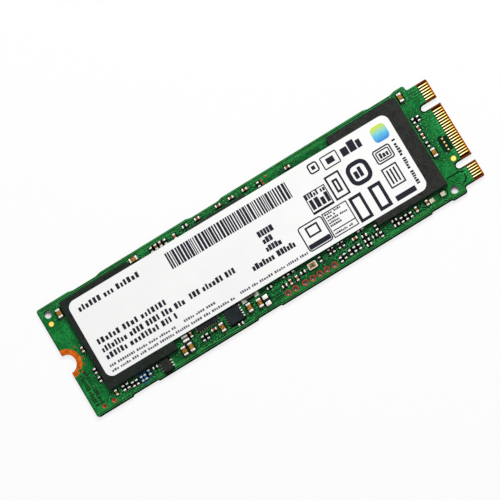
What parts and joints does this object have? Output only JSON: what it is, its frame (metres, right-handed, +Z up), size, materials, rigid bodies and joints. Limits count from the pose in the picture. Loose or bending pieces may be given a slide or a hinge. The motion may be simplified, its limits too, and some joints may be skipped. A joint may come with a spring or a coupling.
{
  "type": "solid state drive",
  "caption": "Bare gumstick solid state drive card with a keyed gold edge connector, a half round mounting notch, flash packages, a controller and a paper label.",
  "frame": {"origin": "on the underside, below the middle of the card's 80 by 22 mm outline", "axes": "+X along the card towards the edge contacts, +Y across the card towards the key nearest to pin 1, +Z up out of the component side"},
  "size_m": [0.08, 0.022, 0.0021],
  "materials": {
    "board_laminate": "green solder mask over glass laminate",
    "contact_gold": "plated gold",
    "bare_copper": "bare copper with a dull shine",
    "package_black": "moulded black epoxy",
    "solder": "bright tin solder",
    "capacitor_ceramic": "fired tan ceramic",
    "resistor_film": "black glazed film",
    "ferrite": "pressed ferrite",
    "crystal_ceramic": "pale ceramic",
    "crystal_lid": "brushed metal lid",
    "label_paper": "white printed paper"
  },
  "bodies": {
    "root": {"circuit_board": "board_laminate", "edge_contacts_top": "contact_gold", "edge_contacts_bottom": "contact_gold", "mount_notch_lands": "bare_copper", "test_hole_linings": "bare_copper", "copper_dots": "bare_copper", "fiducial_pads": "contact_gold", "square_test_pads": "solder", "flash_package_left": "package_black", "flash_package_right": "package_black", "controller_package": "package_black", "memory_package": "package_black", "flash_balls_left": "solder", "flash_balls_right": "solder", "controller_balls": "solder", "memory_balls": "solder", "power_chip_body": "package_black", "power_chip_pads": "solder", "switch_chip_body": "package_black", "switch_chip_pads": "solder", "logic_chip_body": "package_black", "logic_chip_leads": "solder", "crystal_base": "crystal_ceramic", "crystal_lid": "crystal_lid", "inductor_core": "ferrite", "inductor_terminals": "solder", "large_capacitor_bodies": "capacitor_ceramic", "large_capacitor_ends": "solder", "small_capacitor_bodies": "capacitor_ceramic", "small_capacitor_ends": "solder", "resistor_bodies": "resistor_film", "resistor_ends": "solder", "fuse_bodies": "resistor_film", "fuse_ends": "solder", "ferrite_bead_bodies": "ferrite", "ferrite_bead_ends": "solder", "array_bodies": "resistor_film", "array_ends": "solder", "label": "label_paper"}
  },
  "joints": []
}
